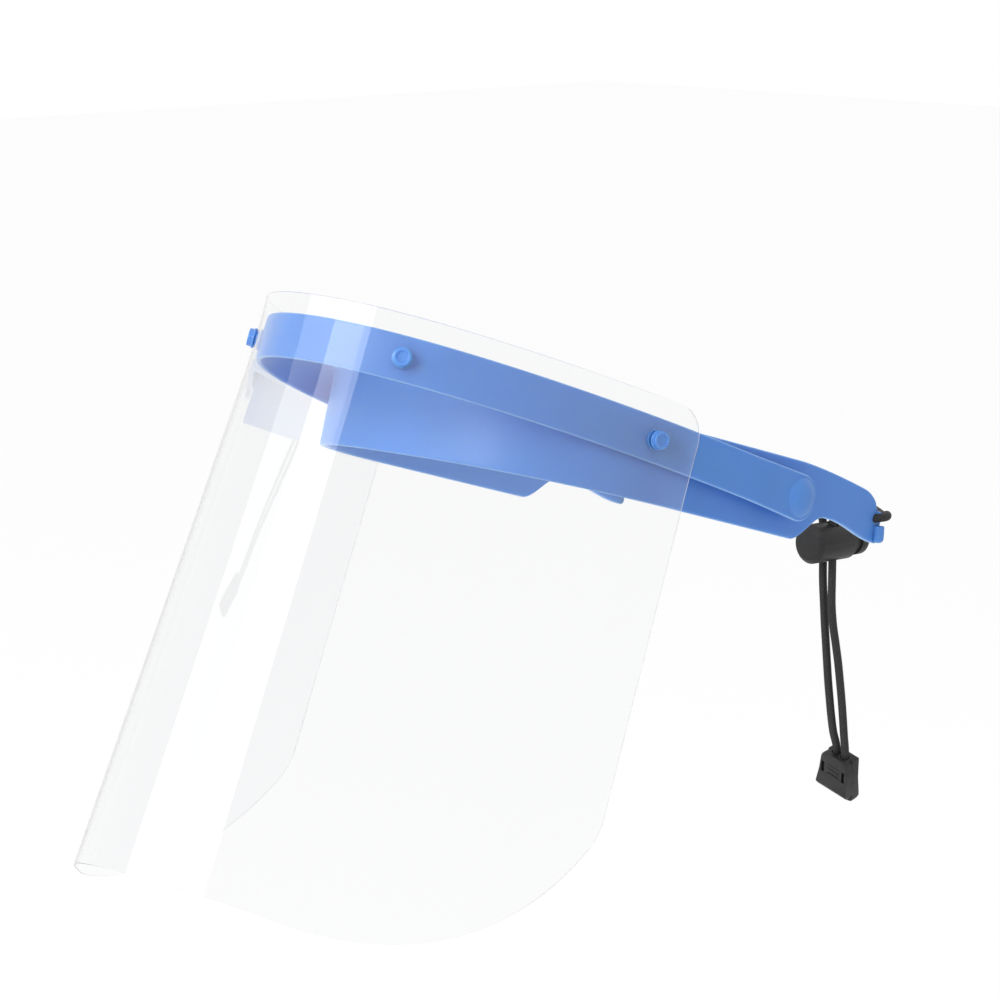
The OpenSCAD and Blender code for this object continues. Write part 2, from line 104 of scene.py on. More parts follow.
class ShieldBowSizes(bpy.types.PropertyGroup):
    half_width: length_value("Half width: Outer half width of the bow", 74 * MM, 0.0735, 0.078)
    depth: length_value("Depth: Depth of the curved front", 150 * MM, 0.14, 0.16)
    height: length_value("Height: Height of the strip", 15.2 * MM, 0.012, 0.018)
    wall: length_value("Wall: Thickness of the strip", 1.8 * MM, 0.0014, 0.0022)
    edge: length_value("Edge: Rounding of the edges", 0.75 * MM, 0.0002, 0.0009)
    dome: length_value("Dome: Radius of the dome over each hinge", 6.7 * MM, 0.0055, 0.007)
    rise: length_value("Dome height: Height of the dome", 2.4 * MM, 0.002, 0.0035)
    flip: bpy.props.FloatProperty(
        name="Rest angle", description="Angle of the bow above the band",
        default=math.radians(5.2), min=0, max=0.4, subtype="ANGLE", unit="ROTATION",
    )


class ShieldSheetSizes(bpy.types.PropertyGroup):
    width: length_value("Width: Width of the flat sheet", 300 * MM, 0.28, 0.32)
    thickness: length_value("Thickness: Thickness of the sheet", 0.5 * MM, 0.0003, 0.001)
    gap: length_value("Gap: Space between the bow and the sheet", 1.4 * MM, 0.0013, 0.0017)


class ShieldCordSizes(bpy.types.PropertyGroup):
    diameter: length_value("Diameter: Thickness of the elastic cord", 3 * MM, 0.0026, 0.003)
    braid: length_value("Braid: Height of the braid's strands", 0.1 * MM, 0, 0.0003)


class ShieldColours(bpy.types.PropertyGroup):
    plastic: colour_value("Plastic: Blue of the band, the bow and the studs", (0.09, 0.277, 0.715))
    # Painted glow: a lighter blue painted on the thin edges, standing in for light coming through
    # them and for their highlights.
    painted_edge_glow: colour_value(
        "Thin edges: Lighter blue where light comes through the edges", (0.3, 0.53, 0.95))
    cord: colour_value("Cord: Black of the elastic cord", (0.009, 0.009, 0.0095))
    fittings: colour_value("Fittings: Black of the lock and the clip", (0.014, 0.014, 0.0145))
    sheet: colour_value("Sheet: Tint of the clear sheet", (0.952, 0.955, 0.959))
    steel: colour_value("Steel: Colour of the spring", (0.6, 0.6, 0.58))
    backdrop: colour_value("Backdrop: Colour of the floor and the backdrop", (1.0, 1.0, 1.0))


# ---- Shape formulas ----------------------------------------------------------


def unit(v):
    """Rows divided by their own length."""
    return v / np.maximum(np.linalg.norm(v, axis=-1, keepdims=True), 1e-12)


def smooth(t):
    """3t^2 - 2t^3 between 0 and 1."""
    u = np.clip(t, 0, 1)
    return u * u * (3 - 2 * u)


def about_x(p, angle, y=0.0, z=0.0):
    """Points turned about a line along X through (y, z)."""
    c, s = math.cos(angle), math.sin(angle)
    q = p - np.array([0, y, z])
    y_turned, z_turned = q[..., 1] * c - q[..., 2] * s, q[..., 1] * s + q[..., 2] * c
    return np.stack([q[..., 0], y_turned, z_turned], axis=-1) + np.array([0, y, z])


HINGE_Y = 19 * MM  # hinge line in the band's own frame
HINGE_DROP = 0.7 * MM  # hinge line below the band's centre line
HINGE_HALF = 73.5 * MM  # outer half width of the bow at the hinges
BAND_CENTRE, BOW_CENTRE = -39 * MM, -5 * MM  # where the arms run into the curved front
BAND_DRAW = 0.0004 / MM  # how fast the band's arms draw in
ARM_STEPS, FRONT_STEPS = 200, 900


def worn(p):
    """From the band's own level frame to the tilted one it is worn in."""
    return about_x(p, -bpy.context.scene.shield_band.tilt)


def at_rest(p):
    """From the bow's own level frame, its hinge line at HINGE_Y, to its place at rest."""
    turned = about_x(p, -bpy.context.scene.shield_bow.flip, HINGE_Y)
    return worn(turned - np.array([0, 0, HINGE_DROP]))


class Plan:
    """A plan curve from the left rear end round the front to the right rear end.

    The front is a superellipse, x = a cos^(2/n), y = c - b sin^(2/n), and the side
    arms draw in behind its centre line, x = a - k (y - c)^2. Distances are measured
    along it from the middle, + to the left.
    """

    def __init__(self, half_width, depth, power, centre, draw, rear):
        ys = np.linspace(rear, centre, ARM_STEPS)[:-1]
        arm = np.stack([half_width - draw * (ys - centre) ** 2, ys], axis=-1)
        t = np.linspace(0, math.pi / 2, FRONT_STEPS)
        front = np.stack([half_width * np.cos(t).clip(0) ** (2 / power),
                          centre - depth * np.sin(t) ** (2 / power)], axis=-1)
        half = np.concatenate([arm, front])
        self.line = np.concatenate([half, half[-2::-1] * [-1, 1]])
        steps = np.linalg.norm(np.diff(self.line, axis=0), axis=1)
        run = np.concatenate([[0], np.cumsum(steps)])
        self.s = run[-1] / 2 - run
        tangent = unit(np.gradient(self.line, run, axis=0))
        self.out = np.stack([-tangent[:, 1], tangent[:, 0]], axis=-1)

    def columns(self, rows, s):
        """Rows that belong to the curve's points, read at the distances s."""
        return np.stack([np.interp(s, self.s[::-1], rows[::-1, k]) for k in range(2)], axis=-1)

    def at(self, s):
        return self.columns(self.line, s)

    def outward(self, s):
        return unit(self.columns(self.out, s))

    def point(self, s, z, w):
        """Point at distance s, height z, and w outwards from the curve."""
        p = self.at(s) + self.outward(s) * w[..., None]
        return np.concatenate([p, z[..., None]], axis=-1)

    def distance_of(self, y):
        """Distance on the left arm at which the curve passes y."""
        left = self.s > 0
        return np.interp(y, self.line[left][::-1, 1], self.s[left][::-1])


def band_plan():
    b = bpy.context.scene.shield_band
    return Plan(b.half_width, b.bow, power=2.4, centre=BAND_CENTRE, draw=BAND_DRAW, rear=b.end)


def bow_plan():
    b = bpy.context.scene.shield_bow
    draw = (b.half_width - HINGE_HALF) / (HINGE_Y - BOW_CENTRE) ** 2
    rear = HINGE_Y + b.height
    return Plan(b.half_width, b.depth, power=2.1, centre=BOW_CENTRE, draw=draw, rear=rear)


# ---- Mesh building -----------------------------------------------------------

WELD = 1e-7  # points closer than this are one
EDGE_ROOM = 0.01 * MM  # least distance kept between the edge rows and the strip's middle
# Painted glow: the share of the wall over which the lighter blue painted on the edges fades in.
PAINTED_GLOW_FADE = 0.2  # share of the wall over which the edges' lighter colour comes in


def grid_faces(rows, columns, wrap_rows=False, wrap_columns=False):
    """Corner numbers of the quads of a rows x columns grid."""
    r = np.arange(rows if wrap_rows else rows - 1)
    c = np.arange(columns if wrap_columns else columns - 1)
    r, c = np.meshgrid(r, c, indexing="ij")
    r2, c2 = (r + 1) % rows, (c + 1) % columns
    corners = [r * columns + c, r * columns + c2, r2 * columns + c2, r2 * columns + c]
    return np.stack(corners, axis=-1).reshape(-1, 4)


def hang(name, mesh, body, replaced):
    """Links a mesh as a piece of a body, in place of the CAD pieces named in replaced."""
    mesh.shade_smooth()
    piece = bpy.data.objects.new(name, mesh)
    bpy.context.scene.collection.objects.link(piece)
    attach(piece, body)
    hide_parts(*replaced)
    return piece


def add_piece(name, points, faces, body, material, replaced, uv=None, edge=None, rim=None):
    """Puts points and faces into a closed mesh at the origin and hangs it on its body.

    edge is a number for each point, 1 on a thin edge, where the finish paints a lighter glow.
    rim is a second material and the faces that have it.
    """
    mesh = bpy.data.meshes.new(name)
    points = np.asarray(points, dtype=np.float64).reshape(-1, 3)
    mesh.from_pydata(points.tolist(), [], [list(f) for f in faces])
    if uv is not None:
        layer = mesh.uv_layers.new(name="UVMap")
        corners = np.zeros(len(mesh.loops), dtype=np.int32)
        mesh.loops.foreach_get("vertex_index", corners)
        layer.data.foreach_set("uv", np.asarray(uv, dtype=np.float32)[corners].ravel())
    # The edge attribute marks where the blue finish paints its lighter glow.
    if edge is not None:
        edge_glow_shares = mesh.attributes.new("edge", "FLOAT", "POINT")
        edge_glow_shares.data.foreach_set("value", np.asarray(edge, dtype=np.float32))
    mesh.materials.append(material)
    if rim is not None:
        mesh.materials.append(rim[0])
        mesh.polygons.foreach_set("material_index", np.asarray(rim[1], dtype=np.int32))
    bm = bmesh.new()
    bm.from_mesh(mesh)
    bmesh.ops.remove_doubles(bm, verts=bm.verts, dist=WELD)
    bmesh.ops.dissolve_degenerate(bm, edges=bm.edges, dist=WELD)
    bmesh.ops.recalc_face_normals(bm, faces=bm.faces)
    if bm.calc_volume(signed=True) < 0:
        bmesh.ops.reverse_faces(bm, faces=bm.faces)
    bm.to_mesh(mesh)
    bm.free()
    return hang(name, mesh, body, replaced)


def join_grids(parts):
    """Several (points, faces) pairs as one."""
    points, faces, start = [], [], 0
    for p, f in parts:
        p = np.asarray(p).reshape(-1, 3)
        points.append(p)
        faces.extend((np.asarray(face) + start).tolist() for face in f)
        start += len(p)
    return np.concatenate(points), faces


def revolved(profile, radius, sides):
    """A profile of (radius, height) rows in mm, its corners rounded, turned about Z."""
    profile = rounded(profile, radius) * MM
    a = np.linspace(0, 2 * math.pi, sides, endpoint=False)
    r, z = profile[:, 0][:, None], profile[:, 1][:, None]
    points = np.stack(np.broadcast_arrays(r * np.cos(a), r * np.sin(a), z), axis=-1)
    return points.reshape(-1, 3), grid_faces(len(profile), sides, wrap_columns=True)


def rounded(corners, radius, steps=4, share=0.45):
    """A profile with short curves of about the given radius in place of its inner corners.

    A curve takes up no more than the given share of either side.
    """
    corners = np.asarray(corners, dtype=float)
    out = [corners[0]]
    for a, b, c in zip(corners[:-2], corners[1:-1], corners[2:]):
        r = min(radius, share * np.linalg.norm(a - b), share * np.linalg.norm(c - b))
        start, end = b + unit(a - b) * r, b + unit(c - b) * r
        t = np.linspace(0, 1, steps + 1)[:, None]
        out.extend((1 - t) ** 2 * start + 2 * t * (1 - t) * b + t ** 2 * end)
    out.append(corners[-1])
    return np.array(out)


def section(wall, edge, face_rows, arc=5, close=None):
    """The loop round a strip's cross-section, as (share of height, inset, depth) rows.

    Up the outer face, over the top edge, down the inner face and under the bottom
    edge. An edge is two quarter circles of radius edge with a flat between them.
    close is the share of the height at which a further row keeps a face flat up to
    its edge.
    """
    up = np.linspace(0, 1, face_rows)
    if close:
        up = np.concatenate([[0], np.linspace(close, 1 - close, face_rows), [1]])
    t = np.linspace(0, math.pi / 2, arc)[1:]
    turn_in = np.stack([edge * (1 - np.sin(t)), -edge * (1 - np.cos(t))], axis=-1)
    turn_out = np.stack([edge * (1 - np.cos(t)), -wall + edge * (1 - np.sin(t))], axis=-1)
    over = np.concatenate([turn_in, turn_out])
    outer = [[a, edge, 0] for a in up]
    top = [[1, d, w] for d, w in over[:-1]]
    inner = [[a, edge, -wall] for a in up[::-1]]
    low = [[0, d, w] for d, w in over[:-1][::-1]]
    return np.array(outer + top + inner + low)


def painted_glow_share(loop, wall, count):
    """Where the glow is painted: 1 on the thin edges and 0 on the two broad faces, for count
    stations of a loop.
    """
    from_middle = np.abs(loop[:, 2] / wall + 0.5)
    return np.tile(smooth((0.5 - from_middle) / PAINTED_GLOW_FADE), count)


def stations(front, *closer):
    """Distances of a strip's stations: the front's, then the closer ones towards both ends."""
    front = front[np.abs(front) < closer[0][0]]
    return np.unique(np.round(np.concatenate([front, *closer, *(-c for c in closer)]), 9))


def end_faces(count, columns):
    """The two faces that close the ends of a grid of count rows."""
    return [list(range(columns))[::-1], list(range((count - 1) * columns, count * columns))]


def strip_grid(plan, s, high, low, loop, bulge=None):
    """A strip along a plan curve, as a grid of stations and section rows.

    high and low are the edge heights at distances s. Every row lies between the two
    edges, set in from them along the edge's own normal by its inset.
    """
    def inward(z, sign):
        """Unit normals of an edge, pointing into the strip."""
        slope = np.gradient(z, s)
        return unit(np.stack([slope, -np.ones_like(slope)], axis=-1) * sign)

    n_high, n_low = inward(high, 1), inward(low, -1)
    share, inset, depth = loop[:, 0], loop[:, 1], loop[:, 2]
    room = np.maximum((high - low)[:, None] / 2 - EDGE_ROOM, 0)
    inset = np.minimum(inset, room)
    top_s = s[:, None] + n_high[:, :1] * inset
    top_z = high[:, None] + n_high[:, 1:] * inset
    low_s = s[:, None] + n_low[:, :1] * inset
    low_z = low[:, None] + n_low[:, 1:] * inset
    ss = low_s + (top_s - low_s) * share
    zz = low_z + (top_z - low_z) * share
    ww = np.broadcast_to(depth, ss.shape).copy()
    if bulge is not None:
        ww = bulge(ss, zz, ww)
    return plan.point(ss, zz, ww)


# ---- Finishes ----------------------------------------------------------------

STRANDS = 8  # strands of the braid round the cord, each way
STRAND_PITCH = 1.6 * MM  # distance along the cord between two strands
GRAIN_DEPTH = 0.05 * MM
GLOW_DEPTH = 4 * MM  # how far light goes into the blue plastic
GLOW_COLOURS = (0.25, 0.5, 1.0)


class Tree:
    """The node tree of a material, a world or a group, with short ways to build it.

    Noise scales are in cells to the metre.
    """

    def __init__(self, owner):
        self.nodes, self.links = owner.nodes, owner.links

    def feed(self, node, values):
        """Gives a node's inputs, by name or number, a link, a number, a vector or a colour."""
        for key, value in values.items():
            socket = node.inputs[key]
            if isinstance(value, bpy.types.NodeSocket):
                self.links.new(value, socket)
            elif isinstance(value, (int, float)):
                socket.default_value = value
            else:
                socket.default_value = (*value, 1)[:len(socket.default_value)]

    def add(self, kind, values=None):
        node = self.nodes.new(kind)
        self.feed(node, values or {})
        return node

    def coords(self, kind="Object"):
        return self.add("ShaderNodeTexCoord").outputs[kind]

    def noise(self, coords, scale, detail=3.0, rough=0.5, stretch=None):
        if stretch:
            coords = self.add("ShaderNodeMapping", {"Vector": coords, "Scale": stretch}).outputs[0]
        values = {"Vector": coords, "Scale": scale, "Detail": detail, "Roughness": rough}
        return self.add("ShaderNodeTexNoise", values).outputs["Fac"]

    def reckon(self, kind, *values):
        """A Math node over sockets and numbers."""
        node = self.add("ShaderNodeMath", dict(enumerate(values)))
        node.operation = kind
        return node.outputs[0]

    def mapped(self, value, low, high, from_low=0.0, from_high=1.0):
        """A value taken from one range to another and kept inside it."""
        return self.add("ShaderNodeMapRange", {
            "Value": value, "From Min": from_low, "From Max": from_high,
            "To Min": low, "To Max": high,
        }).outputs["Result"]

    def mixed(self, share, a, b):
        """Colour a where share is 0 and colour b where it is 1."""
        node = self.add("ShaderNodeMix")
        node.data_type = "RGBA"
        self.feed(node, {0: share, 6: a, 7: b})
        return node.outputs[2]

    def raised(self, height, strength, distance):
        """Normals of a surface raised by a height map."""
        values = {"Height": height, "Strength": strength, "Distance": distance}
        return self.add("ShaderNodeBump", values).outputs["Normal"]

    def background_rays(self):
        """1 for the camera's rays, mirrored ones and those through the sheet, 0 for others."""
        path = self.add("ShaderNodeLightPath").outputs
        rays = self.reckon("MAXIMUM", path["Is Camera Ray"], path["Is Transmission Ray"])
        return self.reckon("MAXIMUM", rays, path["Is Glossy Ray"])


def new_material(name):
    """A material, its tree and the Principled shader joined to its output."""
    material = bpy.data.materials.new(name)
    material.use_nodes = True
    material.node_tree.nodes.clear()
    tree = Tree(material.node_tree)
    shader = tree.add("ShaderNodeBsdfPrincipled")
    tree.add("ShaderNodeOutputMaterial", {"Surface": shader.outputs["BSDF"]})
    return material, tree, shader


def wear_group():
    """Node group: moulded plastic's mottling, faint scuffs and fine grain.

    Colours and masks only: Colour, Roughness and Height.
    """
    if "Moulded surface" in bpy.data.node_groups:
        return bpy.data.node_groups["Moulded surface"]
    group = bpy.data.node_groups.new("Moulded surface", "ShaderNodeTree")
    for way, kind, names in (
        ("INPUT", "Vector", ["Vector"]), ("INPUT", "Color", ["Colour"]),
        ("INPUT", "Float", ["Mottle", "Base roughness", "Scuffs", "Grain"]),
        ("OUTPUT", "Color", ["Colour"]), ("OUTPUT", "Float", ["Roughness", "Height"]),
    ):
        for name in names:
            group.interface.new_socket(name, in_out=way, socket_type="NodeSocket" + kind)
    tree = Tree(group)
    given = tree.add("NodeGroupInput").outputs

    cloud = tree.mapped(tree.noise(given["Vector"], 45), -1, 1, 0.3, 0.7)
    shade = tree.reckon("MULTIPLY", cloud, given["Mottle"])
    scaled = tree.add("ShaderNodeVectorMath")
    scaled.operation = "SCALE"
    tree.feed(scaled, {0: given["Colour"], "Scale": tree.reckon("ADD", shade, 1)})

    smear = tree.noise(given["Vector"], 120, detail=4, rough=0.6, stretch=(1, 1, 5))
    scuff = tree.reckon("MULTIPLY", tree.mapped(smear, 0, 1, 0.5, 0.8), given["Scuffs"])

    grain = tree.reckon("MULTIPLY", tree.noise(given["Vector"], given["Grain"], detail=2), 0.25)
    ripple = tree.noise(given["Vector"], 90, detail=1)
    tree.add("NodeGroupOutput", {
        "Colour": scaled.outputs[0],
        "Roughness": tree.reckon("ADD", given["Base roughness"], scuff),
        "Height": tree.reckon("ADD", grain, ripple),
    })
    return group


def moulded(name, colour, roughness, mottle, scuffs, grain, relief,
            specular=0.5, subsurface=0.0, edge=None, metallic=0.0):
    """Moulded plastic or plain metal. edge is a lighter colour painted on its thin edges, a painted
    glow and highlight.
    """
    found = bpy.data.materials.get(name)
    if found:
        return found
    material, tree, shader = new_material(name)
    # Painted glow: thin edges are mixed towards a lighter blue, standing in for light coming
    # through them and for their highlights.
    if edge:
        thin = tree.add("ShaderNodeAttribute")
        thin.attribute_name = "edge"
        colour = tree.mixed(tree.mapped(thin.outputs["Fac"], 0, 0.95), colour, edge)
    wear = tree.add("ShaderNodeGroup")
    wear.node_tree = wear_group()
    tree.feed(wear, {"Vector": tree.coords(), "Colour": colour, "Mottle": mottle,
                     "Base roughness": roughness, "Scuffs": scuffs, "Grain": grain})
    tree.feed(shader, {
        "Base Color": wear.outputs["Colour"], "Roughness": wear.outputs["Roughness"],
        "Normal": tree.raised(wear.outputs["Height"], relief, GRAIN_DEPTH),
        "Specular IOR Level": specular, "Metallic": metallic,
    })
    if subsurface:
        tree.feed(shader, {"Subsurface Weight": subsurface, "Subsurface Radius": GLOW_COLOURS,
                           "Subsurface Scale": GLOW_DEPTH})
    return material


def blue_plastic():
    c = bpy.context.scene.shield_colours
    return moulded("Blue plastic", c.plastic, roughness=0.42, mottle=0.035, scuffs=0.08, grain=2600,
                   relief=0.25, specular=0.55, subsurface=0.5, edge=c.painted_edge_glow)


def polished_blue():
    c = bpy.context.scene.shield_colours
    return moulded("Polished blue", c.plastic, roughness=0.22, mottle=0.03, scuffs=0.06, grain=2600,
                   relief=0.1, specular=0.8, subsurface=0.4)


def black_plastic():
    c = bpy.context.scene.shield_colours
    return moulded("Black plastic", c.fittings, roughness=0.5, mottle=0.12, scuffs=0.12, grain=3200,
                   relief=0.5, specular=0.4)


def steel():
    c = bpy.context.scene.shield_colours
    return moulded("Spring steel", c.steel, roughness=0.28, mottle=0.08, scuffs=0.15, grain=4000,
                   relief=0.3, metallic=1)


def clear_sheet():
    """Clear plastic with faint handling marks. It lets most light through its shadow."""
    found = bpy.data.materials.get("Clear sheet")
    if found:
        return found
    c = bpy.context.scene.shield_colours
    material, tree, shader = new_material("Clear sheet")
    coords = tree.coords()
    paler = [min(1, x + 0.006) for x in c.sheet]
    smear = tree.noise(coords, 60, detail=4, rough=0.6)
    shadow = tree.add("ShaderNodeLightPath").outputs["Is Shadow Ray"]
    tree.feed(shader, {
        "Base Color": tree.mixed(tree.noise(coords, 12, detail=2), c.sheet, paler),
        "Roughness": tree.mapped(smear, 0.0, 0.03, 0.5, 0.75),
        "Normal": tree.raised(tree.noise(coords, 14, detail=1), 0.04, 0.2 * MM),
        "Transmission Weight": 1, "IOR": 1.5, "Alpha": tree.mapped(shadow, 1.0, 0.08),
    })
    return material


def sheet_edge():
    """The sheet's cut edge, pale and frosted."""
    found = bpy.data.materials.get("Sheet edge")
    if found:
        return found
    material, tree, shader = new_material("Sheet edge")
    frost = tree.noise(tree.coords(), 900)
    colour = tree.mixed(frost, (0.86, 0.88, 0.89), (0.95, 0.96, 0.96))
    tree.feed(shader, {"Base Color": colour, "Roughness": 0.4})
    return material


def braided_cord():
    """Braided black yarn over elastic: strands cross in two directions on the tube's UV."""
    found = bpy.data.materials.get("Braided cord")
    if found:
        return found
    c = bpy.context.scene.shield_colours
    material, tree, shader = new_material("Braided cord")
    split = tree.add("ShaderNodeSeparateXYZ", {0: tree.coords("UV")}).outputs
    along = tree.reckon("MULTIPLY", split["Y"], 2 * math.pi / STRAND_PITCH)
    strands = []
    for sign in (1, -1):
        across = tree.reckon("MULTIPLY", split["X"], STRANDS * 2 * math.pi * sign)
        strands.append(tree.reckon("SINE", tree.reckon("ADD", across, along)))
    weave = tree.mapped(tree.reckon("MAXIMUM", *strands), 0, 1, -1, 1)
    # Painted shade and sheen: the cord is darker in the grooves between the strands and lighter on
    # their crests.
    dark, light = ([share * x for x in c.cord] for share in (0.5, 2.2))
    tree.feed(shader, {
        "Base Color": tree.mixed(weave, dark, light), "Roughness": tree.mapped(weave, 0.85, 0.6),
        "Normal": tree.raised(weave, 0.8, bpy.context.scene.shield_cord.braid),
    })
    return material


# ---- Pieces ------------------------------------------------------------------


def smooth_line(points, spacing, steps=24):
    """A curve through the points (centripetal Catmull-Rom), evenly spaced."""
    p = np.asarray(points, dtype=float)
    p = np.concatenate([[2 * p[0] - p[1]], p, [2 * p[-1] - p[-2]]])
    knots = np.concatenate([[0], np.cumsum(np.linalg.norm(np.diff(p, axis=0), axis=1) ** 0.5)])
    dense = []
    for i in range(1, len(p) - 2):
        t0, t1, t2, t3 = knots[i - 1:i + 3]
        t = np.linspace(t1, t2, steps, endpoint=False)[:, None]
        a1 = (t1 - t) / (t1 - t0) * p[i - 1] + (t - t0) / (t1 - t0) * p[i]
        a2 = (t2 - t) / (t2 - t1) * p[i] + (t - t1) / (t2 - t1) * p[i + 1]
        a3 = (t3 - t) / (t3 - t2) * p[i + 1] + (t - t2) / (t3 - t2) * p[i + 2]
        b1 = (t2 - t) / (t2 - t0) * a1 + (t - t0) / (t2 - t0) * a2
        b2 = (t3 - t) / (t3 - t1) * a2 + (t - t1) / (t3 - t1) * a3
        dense.append((t2 - t) / (t2 - t1) * b1 + (t - t1) / (t2 - t1) * b2)
    line = np.concatenate(dense + [p[-2][None]])
    run = np.concatenate([[0], np.cumsum(np.linalg.norm(np.diff(line, axis=0), axis=1))])
    count = int(round(run[-1] / spacing)) + 1
    s = np.linspace(0, run[-1], count)
    return np.stack([np.interp(s, run, line[:, k]) for k in range(3)], axis=-1)


def carried_frames(line):
    """Tangents and two sideways directions carried along a line without twisting."""
    t = unit(np.gradient(line, axis=0))
    u = np.zeros_like(line)
    u[0] = unit(np.cross(t[0], [0, 0, 1.0]))
    for i in range(1, len(line)):
        v = u[i - 1] - np.dot(u[i - 1], t[i]) * t[i]
        u[i] = v / np.linalg.norm(v)
    return t, u, np.cross(t, u)


def tube(line, radius, sides):
    """A round tube along a line, with UV: turns across, metres along."""
    _, u, v = carried_frames(line)
    a = np.linspace(0, 2 * math.pi, sides + 1)
    run = np.concatenate([[0], np.cumsum(np.linalg.norm(np.diff(line, axis=0), axis=1))])
    cos, sin = np.cos(a)[None, :, None], np.sin(a)[None, :, None]
    ring = line[:, None] + radius * (cos * u[:, None] + sin * v[:, None])
    uv = np.stack(np.broadcast_arrays(a[None, :] / (2 * math.pi), run[:, None]), axis=-1)
    points, faces = ring.reshape(-1, 3), grid_faces(len(line), sides + 1)
    ends = np.array([line[0], line[-1]])
    first, last = len(points), (len(line) - 1) * (sides + 1)
    start_cap = [[first, k + 1, k] for k in range(sides)]
    end_cap = [[first + 1, last + k, last + k + 1] for k in range(sides)]
    uv = np.concatenate([uv.reshape(-1, 2), [[0.5, 0], [0.5, run[-1]]]])
    return np.concatenate([points, ends]), faces.tolist() + start_cap + end_cap, uv, run[-1]


# Cords in the band's end, in its own frame
SLOT_Z = -0.85 * MM
KNOT_R = 2.7 * MM
KNOT_GAP = 0.1 * MM
TURN = 3.1 * MM  # radius of the turn round the band's end
TURN_RISE = 2.6 * MM
TURN_FROM, TURN_TO, TURN_STEP = -90, 60, 25  # degrees
# The rest of their route as points in mm, from the turn to the clip
BACK_ROUTE = [[60.5, 74.4, -19.5], [57, 76.6, -19.3], [50, 81.4, -19.2], [42, 86.9, -19.3],
              [34, 92.2, -19.7], [26, 97.1, -20.4], [18.5, 101.5, -21.6], [12.5, 105.2, -23],
              [8, 108.3, -24.9], [4.8, 110.7, -27.5], [2.9, 112, -30.7], [2.3, 112.5, -34.4],
              [2.3, 112.5, -41], [2.3, 112.5, -48]]
TAILS = {
    1: [[2.3, 112.4, -55], [2.3, 112.4, -63], [2.3, 113.3, -71], [2.3, 114.8, -78],
        [2.3, 116.2, -85], [2.3, 117.3, -92], [2.4, 118.2, -99], [2.8, 118.6, -106],
        [3.4, 118.6, -112.3]],
    -1: [[-2.3, 112.6, -55], [-2.3, 113.2, -63], [-2.3, 113.8, -71], [-2.3, 114.5, -78],
         [-2.3, 115.2, -85], [-2.1, 115.7, -92], [-1.8, 116.3, -99], [-1.2, 116.7, -106],
         [-0.7, 117.3, -111.6]],
}
CLIP_AT = np.array([0.7, 119.8, -120.1]) * MM
CLIP_TURN = Quaternion((0.63, 0.77, 0.03), math.radians(25.6))
CLIP_CORD_X = 2.1  # each cord from the clip's middle, mm
CLIP_CORD_Z = (2, -4.2, -8.4)  # heights of its points in the clip, mm
TAIL_KNOT_R = 1.9 * MM
TAIL_KNOT_AXIS = (0.34, -0.27, 0.9)


def hung(p):
    """From the clip's own frame, origin at the middle of its top, to its place."""
    return np.asarray(p) @ np.array(CLIP_TURN.to_matrix()).T + CLIP_AT


def edge_x():
    """The middle of the band's wall at its rear end."""
    b = bpy.context.scene.shield_band
    drawn = BAND_DRAW * MM * (in_mm(b.end) - BAND_CENTRE / MM) ** 2
    return (in_mm(b.half_width) - drawn - in_mm(b.wall) / 2) * MM


def cord_route(side):
    """The route of one cord: out of the band's slot, round its end, round the head and down."""
    b = bpy.context.scene.shield_band
    middle, end_y = edge_x(), b.end
    knot_x = middle - in_mm(b.wall) / 2 * MM - KNOT_R - KNOT_GAP
    through = [[knot_x, end_y - TURN, SLOT_Z], [knot_x + 2 * MM, end_y - TURN, SLOT_Z]]
    degrees = np.arange(TURN_FROM, TURN_TO + 1, TURN_STEP)
    a = np.radians(degrees)
    rise = TURN_RISE * (degrees - TURN_FROM) / (TURN_TO - TURN_FROM)
    turn = np.stack([middle + TURN * np.cos(a), end_y + TURN * np.sin(a), SLOT_Z + rise], axis=-1)
    start = worn(np.concatenate([through, turn]))
    shared = np.concatenate([start, np.array(BACK_ROUTE) * MM]) * [side, 1, 1]
    in_clip = hung(np.array([[side * CLIP_CORD_X, 0, z] for z in CLIP_CORD_Z]) * MM)
    return np.concatenate([shared, np.array(TAILS[side]) * MM, in_clip])


def knot_ball(centre, radius, axis, rows=40, columns=60, groove=0.13):
    """A tied knot: a ball whose radius dips along three twisted grooves."""
    u = np.linspace(0, math.pi, rows)[:, None]
    v = np.linspace(0, 2 * math.pi, columns, endpoint=False)[None, :]
    r = radius * (1 - groove * np.abs(np.sin(1.5 * v + 1.6 * u)) ** 0.7 * np.sin(u))
    p = np.stack([r * np.sin(u) * np.cos(v), r * np.sin(u) * np.sin(v), r * np.cos(u)], axis=-1)
    turn = np.array(Vector(axis).to_track_quat("Z", "Y").to_matrix())
    return p.reshape(-1, 3) @ turn.T + centre, grid_faces(rows, columns, wrap_columns=True)


def smoothed_copy(node, width, material, body):
    """A CAD piece with its doubles merged, its flat faces joined and its edges rounded."""
    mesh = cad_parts[node].data.copy()
    mesh.name = node + "_finished"
    bm = bmesh.new()
    bm.from_mesh(mesh)
    bmesh.ops.remove_doubles(bm, verts=bm.verts, dist=0.001 * MM)
    bmesh.ops.dissolve_limit(bm, angle_limit=math.radians(1), verts=bm.verts, edges=bm.edges)
    bm.to_mesh(mesh)
    bm.free()
    mesh.materials.clear()
    mesh.materials.append(material)
    piece = hang(mesh.name, mesh, body, [node])
    bevel = piece.modifiers.new("Rounded edges", "BEVEL")
    bevel.width = width
    bevel.segments = 3
    bevel.limit_method = "ANGLE"
    bevel.angle_limit = math.radians(30)
    bevel.harden_normals = True
    return piece


BOW_END = 0.5 * MM  # the round ends stand this far past the strip's edges
BOW_WIDEN = 25 * MM  # length over which the strip widens to its round end
BOW_CLOSER = 7.5 * MM  # length before the hinge with closer stations
BOW_COUNT, BOW_END_COUNT = 361, 24  # stations along the front and at each end
PAD_FACE = 71 * MM  # half width between the pads inside the hinges
PAD_FOOT = 0.5 * MM


